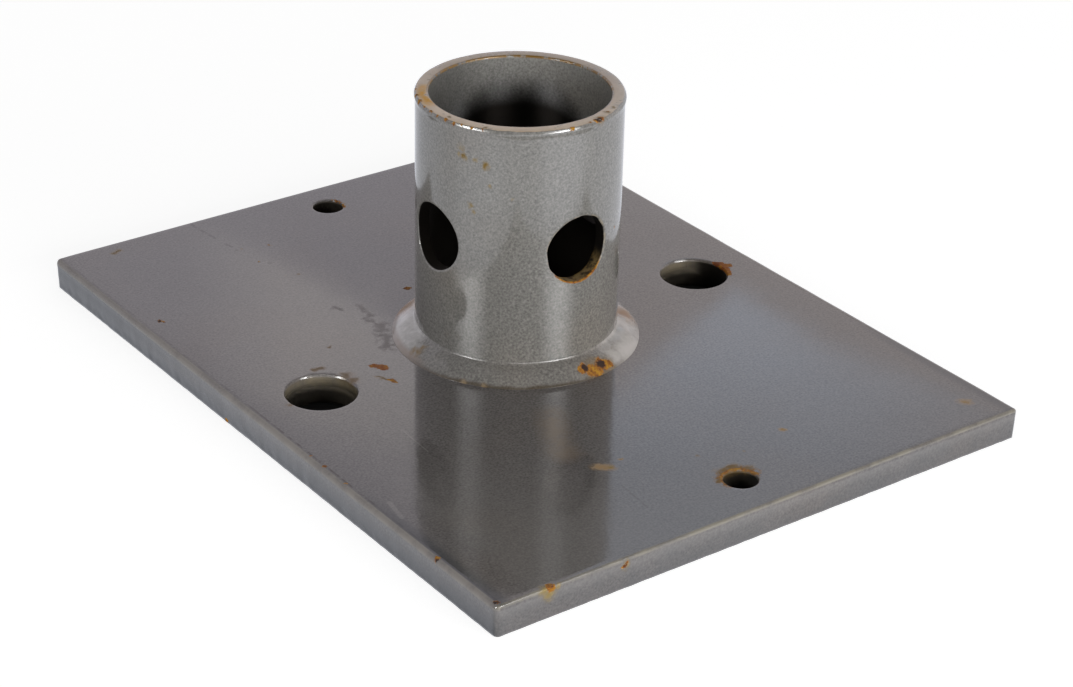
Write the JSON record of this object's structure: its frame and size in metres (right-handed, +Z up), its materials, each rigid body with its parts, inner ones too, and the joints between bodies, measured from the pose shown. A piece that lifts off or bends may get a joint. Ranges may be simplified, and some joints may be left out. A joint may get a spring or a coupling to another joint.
{
  "type": "shoring base plate",
  "caption": "Painted steel shoring base plate: a flat rectangular plate with bolt and spike holes and a short upright pipe socket, cross-drilled for a locking pin, welded on its middle.",
  "frame": {"origin": "on the plate's underside, below the pipe's axis, at the middle of the plate", "axes": "+Z up along the pipe's axis, +Y along the plate's long side, +X along its short side"},
  "size_m": [0.183, 0.238, 0.087],
  "materials": {
    "plate_paint": "semi-gloss grey paint over mill steel, with small rust spots",
    "tube_paint": "semi-gloss grey paint, worn to rust at the rim",
    "weld_paint": "semi-gloss grey paint over a fillet weld"
  },
  "bodies": {
    "root": {"base_plate": "plate_paint", "socket_tube": "tube_paint", "weld_bead": "weld_paint"}
  },
  "joints": []
}
